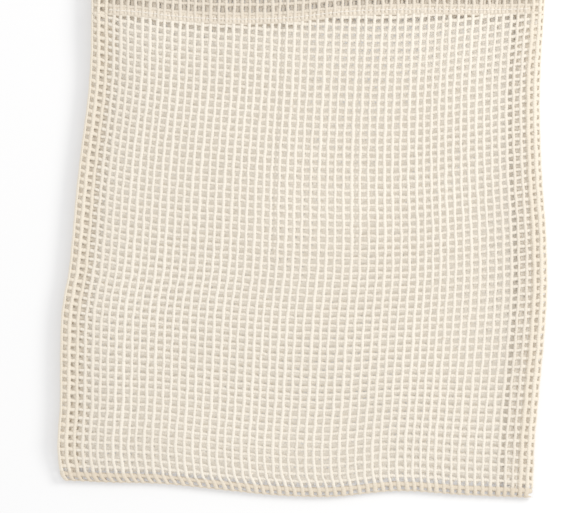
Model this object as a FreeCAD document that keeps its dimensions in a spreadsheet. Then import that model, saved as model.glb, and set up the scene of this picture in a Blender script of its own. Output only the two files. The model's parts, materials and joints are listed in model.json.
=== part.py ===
import FreeCAD, Part
import os
import Sketcher

# A drawstring laundry bag of knitted cotton net, empty, lying flat on its back.
# +X runs across the bag, +Y from the closed bottom to the mouth, +Z up. The origin is the centre
# of the overall box on the plane that the bag lies on. Lengths are in millimetres.
# The net is one length of cloth, folded at the bottom, seamed up both sides with the allowances
# turned inside, and turned in at the mouth to make a casing. Every stretch of it between two
# folds or seams is a sub-part, and so is every thread. The middle of the mouth's front lifts.

SIZES = [
    ("net_ply", 0.8, "thickness of one ply of net"),
    ("mouth_gap", 4.6, "clear height between the two casings at the mouth"),
    ("joint_gap", 0.3, "clearance round the part of the front that lifts"),
    ("thread_size", 0.25, "height of a line of stitching on the cloth"),
    ("stitch_width", 1.0, "width of a line of stitching"),
    ("allowance_width", 14.0, "width of each side seam's allowance"),
    ("allowance_low", 3.8, "height of the lower allowance above the ground"),
    ("seam_inset", 4.0, "distance of the side seam's second row of stitching from the turned edge"),
    ("overlock_width", 1.6, "width of the overlocking past the allowance's raw edge"),
    ("overlock_proud", 0.2, "how far the overlocking stands out past each allowance"),
    ("hem_width", 5.0, "width of the raw edge turned under inside the casing"),
    ("hem_inset", 2.0, "distance of the casing's stitching from the casing's lower edge"),
    ("casing_inset", 1.0, "how much narrower the casing's inside ply is at each end"),
    ("tack_length", 9.0, "length of the bar tack at the top of each side seam"),
    ("tack_width", 2.5, "width of that bar tack"),
    ("tuck_length", 10.0, "length of the folded-up end of the allowances at each bottom corner"),
    ("tuck_width", 5.0, "width of that folded-up end"),
    ("lift_middle_x", 8.0, "middle of the part of the front that lifts"),
    ("lift_half_width", 92.0, "half the width of that part"),
    ("hinge_y", -5.0, "the line that the mouth's front bends along"),
    ("mouth_y", 143.5, "the fold at the mouth"),
    ("hem_y", 108.0, "the casing's lower edge"),
    ("chest_y", 60.0, "station of the outline between the casing and the bending line"),
    ("hip_y", -35.0, "station where the bag is widest on the right"),
    ("low_y", -85.0, "station between the hip and the bottom"),
    ("left_mouth_x", -109.8, "left edge at the mouth"),
    ("left_hem_x", -110.3, "left edge at the casing's lower edge"),
    ("left_chest_x", -113.4, "left edge at the chest station"),
    ("left_hinge_x", -120.4, "left edge at the bending line"),
    ("left_hip_x", -124.5, "left edge at the hip station"),
    ("left_low_x", -126.7, "left edge at the low station"),
    ("left_foot_x", -127.3, "left bottom corner"),
    ("left_foot_y", -133.5, "left bottom corner"),
    ("right_mouth_x", 125.5, "right edge at the mouth"),
    ("right_hem_x", 124.7, "right edge at the casing's lower edge"),
    ("right_chest_x", 122.1, "right edge at the chest station"),
    ("right_hinge_x", 126.8, "right edge at the bending line"),
    ("right_hip_x", 127.3, "right edge at the hip station"),
    ("right_low_x", 123.7, "right edge at the low station"),
    ("right_foot_x", 119.5, "right bottom corner"),
    ("right_foot_y", -141.5, "right bottom corner"),
    ("left_sag_x", -28.0, "station of the bottom fold left of the middle"),
    ("left_sag_y", -140.3, "station of the bottom fold left of the middle"),
    ("right_sag_x", 111.0, "lowest point of the bottom fold"),
    ("right_sag_y", -143.5, "lowest point of the bottom fold"),
]

doc = FreeCAD.newDocument("mesh_laundry_bag")
sheet = doc.addObject("Spreadsheet::Sheet", "sizes")
for row, (alias, value, meaning) in enumerate(SIZES, 1):
    sheet.set(f"A{row}", meaning)
    sheet.set(f"B{row}", str(value))
    sheet.setAlias(f"B{row}", alias)
doc.recompute()

# Heights above the ground, as expressions on the sheet. The back lies on the ground.
PLY = "sizes.net_ply"
BACK = "0"
BACK_HEM = PLY
BACK_LINING = f"2 * {PLY}"
MOUTH_FLOOR = f"3 * {PLY}"
FRONT_LINING = f"3 * {PLY} + sizes.mouth_gap"
FRONT_HEM = f"4 * {PLY} + sizes.mouth_gap"
FRONT = f"5 * {PLY} + sizes.mouth_gap"
TOP = f"6 * {PLY} + sizes.mouth_gap"
LOWER_ALLOWANCE = "sizes.allowance_low"
SEAM_THREAD = f"{LOWER_ALLOWANCE} + {PLY}"
UPPER_ALLOWANCE = f"{SEAM_THREAD} + sizes.thread_size"
ALLOWANCE_TOP = f"{UPPER_ALLOWANCE} + {PLY}"

# Lines along the bag, and distances in from a turned edge.
MOUTH_FOLD = f"sizes.mouth_y - {PLY}"
HEM_LINE = "sizes.hem_y + sizes.hem_inset"
BEND_LINE = "sizes.hinge_y - sizes.joint_gap"
RAW_EDGE = f"{PLY} + sizes.allowance_width"

INWARD = {"left": 1, "right": -1}  # the way from each side edge to the middle
SEAM_STATIONS = ["foot", "low", "hip", "hinge", "chest", "hem"]
sub_parts = []


def plate(label, corners, floor, ceiling):
    """A flat sub-part: the outline through the corners, from the floor height to the ceiling."""
    body = doc.addObject("PartDesign::Body", label)
    body.Label = label
    sketch = body.newObject("Sketcher::SketchObject", label + "_outline")
    ground = [plane for plane in body.Origin.OriginFeatures if plane.Role == "XY_Plane"]
    sketch.AttachmentSupport = [(ground[0], "")]
    sketch.MapMode = "FlatFace"
    places = [
        FreeCAD.Vector(sheet.evalExpression(across), sheet.evalExpression(along), 0)
        for across, along in corners
    ]
    for start, end in zip(places, places[1:] + places[:1]):
        sketch.addGeometry(Part.LineSegment(start, end), False)
    for index, (across, along) in enumerate(corners):
        after = (index + 1) % len(corners)
        sketch.addConstraint(Sketcher.Constraint("Coincident", index, 2, after, 1))
        for kind, size, value in (
            ("DistanceX", across, places[index].x),
            ("DistanceY", along, places[index].y),
        ):
            added = sketch.addConstraint(Sketcher.Constraint(kind, -1, 1, index, 1, value))
            sketch.setExpression(f"Constraints[{added}]", size)
    pad = body.newObject("PartDesign::Pad", label + "_pad")
    pad.Profile = sketch
    pad.setExpression("Length", f"{ceiling} - ({floor})")
    body.setExpression("Placement.Base.z", floor)
    sub_parts.append(body)


def edge(side, station, inward="0", along=None):
    """A corner a distance in from one side edge at a station, at its or another line along the bag."""
    station_y = f"sizes.{side}_foot_y" if station == "foot" else f"sizes.{station}_y"
    return (f"sizes.{side}_{station}_x + {INWARD[side]} * ({inward})", along or station_y)


def lift_side(side, clearance="0"):
    """The across place of one side of the part that lifts, or of its neighbour past a clearance."""
    return f"sizes.lift_middle_x - {INWARD[side]} * (sizes.lift_half_width + {clearance})"


def bottom_fold_line(inward):
    """Corners of the bottom fold from left to right, moved up by a distance."""
    return [
        edge("left", "foot", along=f"sizes.left_foot_y + {inward}"),
        ("sizes.left_sag_x", f"sizes.left_sag_y + {inward}"),
        ("sizes.right_sag_x", f"sizes.right_sag_y + {inward}"),
        edge("right", "foot", along=f"sizes.right_foot_y + {inward}"),
    ]


def net_panels():
    """The back, the fold at the bottom, and the front's lower half, margins and lifting middle."""
    left_up = [edge("left", station) for station in SEAM_STATIONS[1:]]
    right_up = [edge("right", station) for station in SEAM_STATIONS[1:]]
    mouth = [edge("left", "mouth", along=MOUTH_FOLD), edge("right", "mouth", along=MOUTH_FOLD)]
    plate("back_net", bottom_fold_line("0") + right_up + mouth[::-1] + left_up[::-1], BACK, BACK_HEM)

    fold = bottom_fold_line("0") + bottom_fold_line(PLY)[::-1]
    plate("bottom_fold", fold, PLY, FRONT)

    bend = [edge("right", "hinge", along=BEND_LINE), edge("left", "hinge", along=BEND_LINE)]
    hips = [edge("right", "low"), edge("right", "hip")], [edge("left", "hip"), edge("left", "low")]
    plate("front_net_lower", bottom_fold_line("0") + hips[0] + bend + hips[1], FRONT, TOP)

    for side in INWARD:
        outer = [edge(side, "hinge", along=BEND_LINE), edge(side, "chest"), edge(side, "hem")]
        outer.append(edge(side, "mouth", along=MOUTH_FOLD))
        inner = lift_side(side, "sizes.joint_gap")
        corners = outer + [(inner, MOUTH_FOLD), (inner, BEND_LINE)]
        plate(f"front_net_{side}_margin", corners, FRONT, TOP)
    plate("front_net_mouth", lifting_box("sizes.hinge_y", MOUTH_FOLD), FRONT, TOP)


def lifting_box(low, high):
    """The corners of the full width of the part that lifts, between two lines along the bag."""
    left, right = lift_side("left"), lift_side("right")
    return [(left, low), (right, low), (right, high), (left, high)]


def side_strip(label, side, outer, inner, floor, ceiling):
    """A strip along a side seam from the bottom fold to the casing, between two distances in."""
    strip = []
    for inward, stations in ((outer, SEAM_STATIONS), (inner, SEAM_STATIONS[::-1])):
        for station in stations:
            along = f"sizes.{side}_foot_y + 2 * {PLY}" if station == "foot" else None
            strip.append(edge(side, station, inward, along))
    plate(label, strip, floor, ceiling)


def side_seams():
    """Both side seams: turned edges, allowances, their two rows of thread and the overlocking."""
    for side in INWARD:
        side_strip(f"{side}_back_edge_turn", side, "0", PLY, BACK_HEM, SEAM_THREAD)
        side_strip(f"{side}_front_edge_turn", side, "0", PLY, UPPER_ALLOWANCE, FRONT)
        side_strip(f"{side}_back_allowance", side, PLY, RAW_EDGE, LOWER_ALLOWANCE, SEAM_THREAD)
        side_strip(f"{side}_front_allowance", side, PLY, RAW_EDGE, UPPER_ALLOWANCE, ALLOWANCE_TOP)
        rows = {"seam": "0", "safety": "sizes.seam_inset"}
        for row, inset in rows.items():
            outer, inner = f"{inset}", f"{inset} + sizes.stitch_width"
            side_strip(f"{side}_{row}_stitching", side, outer, inner, SEAM_THREAD, UPPER_ALLOWANCE)
        past = f"{RAW_EDGE} + sizes.overlock_width"
        low = f"{LOWER_ALLOWANCE} - sizes.overlock_proud"
        high = f"{ALLOWANCE_TOP} + sizes.overlock_proud"
        side_strip(f"{side}_overlocking", side, RAW_EDGE, past, low, high)


def seam_ends():
    """The bar tack at the top of each side seam and the folded-up allowances at its bottom."""
    for side in INWARD:
        near, far = "2 * sizes.stitch_width", "sizes.tack_length"
        under = "sizes.hem_y - sizes.tack_width"
        tack = [edge(side, "hem", near, under), edge(side, "hem", far, under)]
        tack += [edge(side, "hem", far), edge(side, "hem", near)]
        plate(f"{side}_bar_tack", tack, ALLOWANCE_TOP, f"{ALLOWANCE_TOP} + sizes.thread_size")

        near, far = "3 * sizes.stitch_width", "sizes.tuck_length"
        low, high = (f"sizes.{side}_foot_y + 2 * {PLY} + {rise}" for rise in ("0", "sizes.tuck_width"))
        tuck = [edge(side, "foot", inward, along) for inward, along in
                ((near, low), (far, low), (far, high), (near, high))]
        plate(f"{side}_corner_tuck", tuck, BACK_HEM, LOWER_ALLOWANCE)


def casing_band(side, low, high):
    """The corners of a front casing piece on one side of the part that lifts."""
    inner = lift_side(side, "sizes.joint_gap")
    outer_low = edge(side, "hem", "sizes.casing_inset", low)
    outer_high = edge(side, "mouth", "sizes.casing_inset", high)
    return [outer_low, (inner, low), (inner, high), outer_high]


def casings():
    """The casing round the mouth: lining, top fold, turned-under hem and line of stitching."""
    stitch_end = f"{HEM_LINE} + sizes.stitch_width"
    hem_end = "sizes.hem_y + sizes.hem_width"
    pieces = {
        # name: (low line, high line, back floor, back ceiling, front floor, front ceiling)
        "lining": ("sizes.hem_y", MOUTH_FOLD, BACK_LINING, MOUTH_FLOOR, FRONT_LINING, FRONT_HEM),
        "fold": (MOUTH_FOLD, "sizes.mouth_y", BACK, MOUTH_FLOOR, FRONT_LINING, TOP),
        "hem": ("sizes.hem_y", hem_end, BACK_HEM, BACK_LINING, FRONT_HEM, FRONT),
        "stitching": (HEM_LINE, stitch_end, MOUTH_FLOOR, f"{MOUTH_FLOOR} + sizes.thread_size",
                      TOP, f"{TOP} + sizes.thread_size"),
    }
    for name, (low, high, back_floor, back_ceiling, front_floor, front_ceiling) in pieces.items():
        inset = "sizes.casing_inset"
        whole = [edge("left", "hem", inset, low), edge("right", "hem", inset, low)]
        whole += [edge("right", "mouth", inset, high), edge("left", "mouth", inset, high)]
        plate(f"back_casing_{name}", whole, back_floor, back_ceiling)
        plate(f"front_casing_{name}_middle", lifting_box(low, high), front_floor, front_ceiling)
        for side in INWARD:
            band = casing_band(side, low, high)
            plate(f"front_casing_{name}_{side}", band, front_floor, front_ceiling)


def check_and_write():
    """Refuses a failed or empty shape, then writes one file for each sub-part."""
    doc.recompute()
    for thing in doc.Objects:
        if "Invalid" in thing.State or "Error" in thing.State:
            raise RuntimeError(f"{thing.Label} did not recompute: {thing.State}")
    os.makedirs("parts", exist_ok=True)
    for body in sub_parts:
        shape = body.Shape
        if shape.isNull() or not shape.isValid() or len(shape.Solids) != 1:
            raise RuntimeError(f"{body.Label} has no valid solid")
        shape.exportStep(os.path.join("parts", body.Label + ".step"))
    print(f"{len(sub_parts)} sub-parts written")


net_panels()
side_seams()
seam_ends()
casings()
check_and_write()
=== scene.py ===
"""A drawstring laundry bag of undyed knitted cotton net, empty and lying flat on its back.

The net is one length of cloth. It is folded at the bottom, seamed up both sides with the
allowances turned inside, and turned in round the mouth to make the casing. Its yarns are modelled
one by one: upright chains of stitches, called wales, and the level yarns laid through them, called
rows. A place in the cloth is a pair of counts: wales across, from the left side's turned edge, and
rows up, from the fold at the bottom.
"""

import json
import math

import bpy
import numpy as np
from bpy.props import FloatProperty, FloatVectorProperty, IntProperty, PointerProperty
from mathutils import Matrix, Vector


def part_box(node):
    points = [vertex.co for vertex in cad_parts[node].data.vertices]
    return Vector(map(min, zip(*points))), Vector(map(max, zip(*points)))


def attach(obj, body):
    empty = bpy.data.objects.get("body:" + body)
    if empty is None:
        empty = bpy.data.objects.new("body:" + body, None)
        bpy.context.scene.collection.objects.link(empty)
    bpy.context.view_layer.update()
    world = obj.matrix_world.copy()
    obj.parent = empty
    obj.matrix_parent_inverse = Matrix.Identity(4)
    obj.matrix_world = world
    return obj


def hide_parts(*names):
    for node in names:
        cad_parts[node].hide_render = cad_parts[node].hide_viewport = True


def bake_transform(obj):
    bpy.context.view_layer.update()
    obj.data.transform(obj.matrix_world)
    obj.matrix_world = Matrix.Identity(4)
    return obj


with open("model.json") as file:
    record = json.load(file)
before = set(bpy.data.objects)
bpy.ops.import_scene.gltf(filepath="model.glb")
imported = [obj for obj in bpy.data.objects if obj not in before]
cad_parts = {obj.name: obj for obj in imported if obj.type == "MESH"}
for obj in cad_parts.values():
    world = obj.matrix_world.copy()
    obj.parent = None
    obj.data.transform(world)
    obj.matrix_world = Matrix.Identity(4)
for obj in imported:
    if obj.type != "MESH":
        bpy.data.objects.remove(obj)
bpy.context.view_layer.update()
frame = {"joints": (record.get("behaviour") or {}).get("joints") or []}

bl_info = {
    "name": "Net laundry bag",
    "version": (1, 0, 0),
    "blender": (4, 5, 0),
    "location": "View3D > Sidebar > Net bag",
    "description": "Builds a knitted cotton laundry bag, its seams, casing and threads, and its stage",
    "category": "Object",
}

MM = 0.001
BAG, MOUTH = "bag", "mouth_front"
HINGE = next(joint for joint in frame["joints"] if joint["name"] == "mouth_open")["pos_m"]
MOUTH_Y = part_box("back_casing_fold")[1].y
FRONT_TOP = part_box("front_net_lower")[1].z
WALES, ROWS, CASING_ROWS = 60, 60, 8

# The outline's side edges: places along the bag, then how far across each edge is there.
LEFT_EDGE = np.array([
    (-150, -118), (-134, -123.9), (-131.5, -126), (-128, -126.9), (-91, -126.8), (-60, -126.6),
    (-47, -126.1), (-36, -124.6), (-26, -122.6), (-8, -120.6), (15, -118.6), (40, -115.8),
    (58, -113.4), (68, -112.2), (87, -110.9), (118, -110.3), (144, -109.8)]) * MM
RIGHT_EDGE = np.array([
    (-150, 119.2), (-141, 119.6), (-112, 120.7), (-91, 122.5), (-60, 125.4), (-34, 127.0),
    (-8, 126.6), (29, 124.2), (66, 123.2), (92, 124.0), (118, 125.6), (144, 125.5)]) * MM
# Lines across the bag, each given at these shares of its width.
SHARE = np.array([0, 0.1, 0.2, 0.33, 0.45, 0.55, 0.7, 0.85, 1])
FOLD_LINE = np.array([-133.2, -134.3, -134.9, -138.2, -141.1, -141.9, -138.8, -140.9, -142.3]) * MM
HEM_LINE = np.array([111, 109.6, 107, 105.6, 106.6, 109.4, 110.8, 110.5, 111.2]) * MM
ROW_SAG = np.array([0, 5.4, 9.0, 11.6, 13.6, 14.4, 14.2, 10.8, 6.0]) * MM

# The casing's plies, by their middles' heights: outer ply, turned-under hem, lining.
CASING_LEVELS = {
    "front": (FRONT_TOP - 0.45 * MM, FRONT_TOP - 0.65 * MM, FRONT_TOP - 2.0 * MM),
    "back": (0.8 * MM, 1.55 * MM, 2.3 * MM),
}
# The turned-under hem: how far apart its rows lie, how many there are, how many times longer its
# cloth is than the hem is deep, and the radius of the folds at its sides.
HEM_PITCH, HEM_ROWS, HEM_TAKE_UP, HEM_TURN = 1.05 * MM, 3, 3.3, 1 * MM
# How much the casing's outer ply puckers, and how far its lining has slipped across.
PUCKER, LINING_SLIP = 0.3 * MM, 1.9 * MM

# A side seam's plies lie this far apart at the fold. Above it they stand higher by these amounts,
# for the back's allowance, the front's allowance and the front, which rises again at the casing.
SEAM_PLY, SEAM_RISES, CASING_RISE = 1.1 * MM, (2.0 * MM, 2.1 * MM, 3.3 * MM), 1.6 * MM
# Shares of the bag's length over which the seams, and the front between them, rise and settle.
SEAM_LIFT, SEAM_SETTLE, FRONT_LIFT, FRONT_SETTLE = (0, 0.1), (0.88, 0.985), (0, 0.12), (0.86, 0.985)
# Openings are narrower at the side seams by the first share, and the middle rows are pushed
# towards the casing by the second share of the bag's length.
SIDE_CLOSENESS, ROW_PUSH = 0.05, 0.014
# How uneven the rows are beside the wales, and how much the back's stray changes over the cloth.
ROW_UNEVENNESS, STRAY_CHANGE = 0.6, 0.4

# Where the first wale lies, in openings from the side's fold, and how far the chains of stitches
# stand out of the net's middle, and the rows in from it.
WALE_PHASE, CHAIN_PROUD, ROW_SUNK = 0.18, 0.12 * MM, 0.2 * MM
# How many times fuller than the front's the yarns are, and how much deeper their colour is. The deeper
# colours are painted shade: on the rows lying under the wales, in the casing's doubled plies, at the
# bottom fold and its tucked corners, and on the wales over the side seams' allowances.
BACK_SWELL, FOLD_SWELL, SEAM_SWELL, EDGE_SWELL, HEM_SWELL = 1.6, 1.35, 1.6, 1.15, 1.15
ROW_SHADE, CASING_SHADE, FOLD_SHADE, SIDE_SHADE = 2.2, 5.6, 4.6, 2.8
# Where the pieces of net end, in openings. The top row is past the casing's lower edge everywhere.
EDGE_REACH, EDGE_UNDER, FOLD_REACH, LINING_WALE, TOP_ROW = 2.3, 0.45, 1.3, 1.0, 66
ALLOWANCE_ROW, ALLOWANCE_INSET = 2, 1 * MM
# The cloth as it was cut: its width at the mouth, and the height of a row.
MOUTH_WIDTH, ROW_PITCH = 245 * MM, 4.09 * MM
# A tucked corner: its openings, its gap inside its node's box, its yarn's skin, and its cloth.
TUCK_PITCH, TUCK_INSET, TUCK_SKIN, TUCK_LENGTH = 3.3 * MM, 0.8 * MM, 0.7 * MM, 10.5 * MM

# The front's mouth half is in three parts, parted between two wales.
LEFT_PART, RIGHT_PART = 25.5, 35.5
LIFTED = {"left": (EDGE_REACH, LEFT_PART), "middle": (LEFT_PART, RIGHT_PART),
          "right": (RIGHT_PART, WALES - EDGE_REACH)}
LIFT_CENTRE, LIFT_HALF, LIFT_FADE = 8 * MM, 20 * MM, 88 * MM

# Sewing. The inset is from the casing's lower edge, the skin is about half a yarn's thickness, and
# the reach is from between the two allowances out to the thread.
THREAD_RADIUS, STITCH_LENGTH, STITCH_INSET, YARN_SKIN = 0.22 * MM, 3 * MM, 2 * MM, 0.5 * MM
SEAM_RADIUS, ALLOWANCE_REACH, TACK_BARS = 1.2 * MM, 1.15 * MM, 16
# Overlocking: loops round the raw edges, and a chain along each face of them.
OVERLOCK_PITCH, OVERLOCK_DEPTH, OVERLOCK_LEAN, OVERLOCK_RADIUS = 2 * MM, 1.1 * MM, 0.5 * MM, 0.2 * MM
OVERLOCK_INSET, CHAIN_INSET, CHAIN_SWAY = 0.2, 1.2 * MM, 0.35 * MM

# Bright, soft tones, as of a pale thing on a pale table near a window.
FLOOR_SIZE, HIGH_KEY = 6, 2.4
LIGHT_PLACE, LIGHT_SIZE, LIGHT_POWER, ROOM_LIGHT = (0.84, 0.36, 0.70), 0.5, 11.8, 0.80
WINDOW_TINT, ROOM_TINT = (1.0, 0.985, 0.96), (0.985, 0.99, 1, 1)
CAMERA_PLACE, SENSOR, VIEW_WIDTH = (-11.8 * MM, -16.2 * MM, 1.5), 36, 295 * MM


class NetSettings(bpy.types.PropertyGroup):
    """Counts and yarn sizes of the knitted net."""

    wales: IntProperty(name="Wales", description="Openings across the bag", default=WALES,
                       min=8)
    rows: IntProperty(name="Rows", description="Rows up the left side, from the fold to the casing",
                      default=ROWS, min=8)
    casing_rows: IntProperty(name="Casing rows", description="Rows in one ply of the casing",
                             default=CASING_ROWS, min=2)
    bending_row: IntProperty(name="Bending row", description="Last row of the lower front",
                             default=31, min=1)
    wale_width: FloatProperty(name="Wale width", description="Width of one chain of stitches",
                              default=1.65 * MM, unit="LENGTH")
    wale_height: FloatProperty(name="Wale height", description="Thickness of one chain of stitches",
                               default=0.95 * MM, unit="LENGTH")
    row_width: FloatProperty(name="Row width", description="Width of the yarn laid along a row",
                             default=1.8 * MM, unit="LENGTH")
    row_height: FloatProperty(name="Row height", description="Thickness of a row's yarn",
                              default=0.95 * MM, unit="LENGTH")
    stitches: IntProperty(name="Stitches per opening", description="Chain stitches up one opening",
                          default=3, min=1)
    unevenness: FloatProperty(name="Unevenness", description="How much the openings differ in size",
                              default=0.05, min=0, max=0.3)


class ShapeSettings(bpy.types.PropertyGroup):
    """How the empty bag lies."""

    back_height: FloatProperty(name="Back height", description="Middle of the back ply above ground",
                               default=0.8 * MM, unit="LENGTH")
    body_height: FloatProperty(name="Front height", description="Middle of the front ply at mid bag",
                               default=6.4 * MM, unit="LENGTH")
    fold_height: FloatProperty(name="Fold height", description="Middle of the front ply at the fold",
                               default=3.7 * MM, unit="LENGTH")
    waves: FloatProperty(name="Waves", description="Height of the slack waves in the front",
                         default=0.7 * MM, unit="LENGTH")
    allowance: FloatProperty(name="Allowance", description="Openings in each seam allowance",
                             default=3.5, min=1)
    drift: FloatProperty(name="Drift", description="How far the back's openings stray from the front's",
                         default=2.0 * MM, unit="LENGTH")


class ColourSettings(bpy.types.PropertyGroup):
    """Colours of the cotton and the stage."""

    cotton: FloatVectorProperty(name="Cotton", description="Undyed cotton yarn", subtype="COLOR",
                                size=3, min=0, max=1, default=(0.775, 0.665, 0.495))
    # Painted light: the back's yarn is painted paler than the front's, lifting the shade it lies in
    # under the front.
    painted_light_cotton: FloatVectorProperty(name="Pale cotton", description="Yarn of the unhandled back",
                                     subtype="COLOR", size=3, min=0, max=1,
                                     default=(0.95, 0.85, 0.675))
    # The deep colour towards which the valleys between stitches are painted as shade, and the yarns are
    # deepened by their tone.
    deep_and_shaded_cotton: FloatVectorProperty(name="Deep and shaded cotton", description="Yarn between its stitches",
                                     subtype="COLOR", size=3, min=0, max=1,
                                     default=(0.51, 0.395, 0.26))
    fleck: FloatVectorProperty(name="Fleck", description="Specks of seed husk left in the cotton",
                               subtype="COLOR", size=3, min=0, max=1, default=(0.45, 0.33, 0.2))
    thread: FloatVectorProperty(name="Thread", description="Sewing thread", subtype="COLOR",
                                size=3, min=0, max=1, default=(0.80, 0.71, 0.57))
    floor: FloatVectorProperty(name="Floor", description="Plain surface under the bag",
                               subtype="COLOR", size=3, min=0, max=1, default=(0.82, 0.82, 0.82))


def net():
    """The net's settings."""
    return bpy.context.scene.bag_net


def shape():
    """The lying bag's settings."""
    return bpy.context.scene.bag_shape


def colour(name):
    """One of the settings' colours, with an alpha of 1."""
    return (*getattr(bpy.context.scene.bag_colour, name), 1)


# --- smooth lines and waves -------------------------------------------------------------------


def through(at, stations, values):
    """A smooth line through the values at the stations."""
    slopes = np.gradient(values, stations)
    index = np.clip(np.searchsorted(stations, at) - 1, 0, len(stations) - 2)
    low, high = stations[index], stations[index + 1]
    share = np.clip((at - low) / (high - low), 0, 1)
    reach = high - low
    squared, cubed = share ** 2, share ** 3
    return ((2 * cubed - 3 * squared + 1) * values[index]
            + (cubed - 2 * squared + share) * reach * slopes[index]
            + (3 * squared - 2 * cubed) * values[index + 1]
            + (cubed - squared) * reach * slopes[index + 1])


def ease(value, low, high):
    """0 at the low end and before it, 1 at the high end and past it, smooth between them."""
    share = np.clip((value - low) / (high - low), 0, 1)
    return share * share * (3 - 2 * share)


def ripple(seed, x, y, length, count=7):
    """A seeded field of slow waves, mostly between -1 and 1, of about that wavelength."""
    random = np.random.default_rng(seed)
    total = np.zeros(np.broadcast(x, y).shape)
    for _ in range(count):
        angle, phase = random.uniform(0, 2 * math.pi, 2)
        size = length * random.uniform(0.7, 1.6)
        total += np.sin(2 * math.pi * (x * math.cos(angle) + y * math.sin(angle)) / size + phase)
    return total / math.sqrt(count) / 1.3


def uneven(seed, count, looseness):
    """Where each of count + 1 lines lies when the gaps between them differ a little."""
    gaps = 1 + looseness * np.random.default_rng(seed).standard_normal(count)
    return np.concatenate([[0], np.cumsum(gaps) * count / gaps.sum()])


def among(at, lines):
    """The uneven place of a count, which need not be whole. Past the lines it isn't changed."""
    count = len(lines) - 1
    inside = np.interp(at, np.arange(count + 1), lines)
    return np.where((at < 0) | (at > count), at, inside)


# --- the cloth's surface ----------------------------------------------------------------------


def share_of(wale):
    """A wale's place as a share of the bag's width."""
    return np.clip(wale / net().wales, 0, 1)


def fold_y(wale):
    """How far along the bag the fold at the bottom is."""
    return through(share_of(wale), SHARE, FOLD_LINE)


def hem_y(wale):
    """How far along the bag the casing's lower edge is."""
    return through(share_of(wale), SHARE, HEM_LINE)


def stray_share(share, up, seed, length, wave):
    """How much of the back's stray there is at a place. It changes slowly over the cloth."""
    change = STRAY_CHANGE * ripple(seed, share * 0.25, up * length, wave)
    return (1 + change) * ease(up, 0, 0.04)


def cloth_length(wale, row, stray):
    """Length of cloth from the fold up to a place. The back's openings stray a little."""
    rows, share = net().rows, share_of(wale)
    up = among(row, uneven(21, rows, net().unevenness * ROW_UNEVENNESS)) / rows
    packed = up + ROW_PUSH * np.sin(math.pi * np.clip(up, 0, 1))
    left_length = HEM_LINE[0] - FOLD_LINE[0]
    more_sag = through(share, SHARE, ROW_SAG) - (FOLD_LINE[0] - fold_y(wale))
    wander = 0.12 * MM * np.sin(row * 1.7 + wale * 0.9) + 0.1 * MM * np.sin(wale * 2.3 - row * 0.6)
    strayed = stray * stray_share(share, up, 5, 0.25, 0.12)
    return packed * left_length - more_sag * ease(up, 0, 0.6) + wander * ease(up, 0, 0.05) + strayed


def seam_levels(up):
    """Heights of the four plies at a side seam: back, its allowance, front's allowance, front."""
    lowest = shape().back_height + 0 * up
    plies = [lowest + count * SEAM_PLY + rise * ease(up, *SEAM_LIFT)
             for count, rise in enumerate(SEAM_RISES, 1)]
    return lowest, plies[0], plies[1], plies[2] + CASING_RISE * ease(up, *SEAM_SETTLE)


def front_height(x, y, share, up):
    """The middle of the front ply: slack waves between the seams, the fold and the casing."""
    fold, body = shape().fold_height, shape().body_height
    level = fold + (body - fold) * ease(up, *FRONT_LIFT)
    level = level + (CASING_LEVELS["front"][0] - level) * ease(up, *FRONT_SETTLE)
    near = np.minimum(share, 1 - share)
    slack = ease(near, 0.01, 0.16) * ease(up, 0.02, 0.15) * (1 - ease(up, 0.88, 0.99))
    level = level + slack * shape().waves * (ripple(3, x, y, 0.105) + 0.3 * ripple(4, x, y, 0.035))
    edge = seam_levels(up)[3]
    return edge + (level - edge) * ease(near, 0, 0.1)


def turned(distance, radius):
    """In from a fold's tip, and up or down, for a distance along cloth that turns over the fold."""
    quarter = math.pi * radius / 2
    bent = np.clip(distance, -quarter, quarter)
    return radius * (1 - np.cos(bent / radius)) + np.abs(distance - bent), np.sin(bent / radius)


def across(wale, y, radius):
    """How far across a wale is, and which side of its turned edge it is on, from -1 to 1."""
    left, right = through(y, *LEFT_EDGE.T), through(y, *RIGHT_EDGE.T)
    wales = net().wales
    count = among(wale, uneven(11, wales, net().unevenness))
    count = count - SIDE_CLOSENESS * wales * np.sin(2 * math.pi * share_of(count)) / (2 * math.pi)
    pitch = (right - left + (math.pi - 2) * radius) / wales
    on_left = wale < wales / 2
    inward, side = turned(np.where(on_left, count, wales - count) * pitch, radius)
    return np.where(on_left, left + inward, right - inward), side


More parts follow.
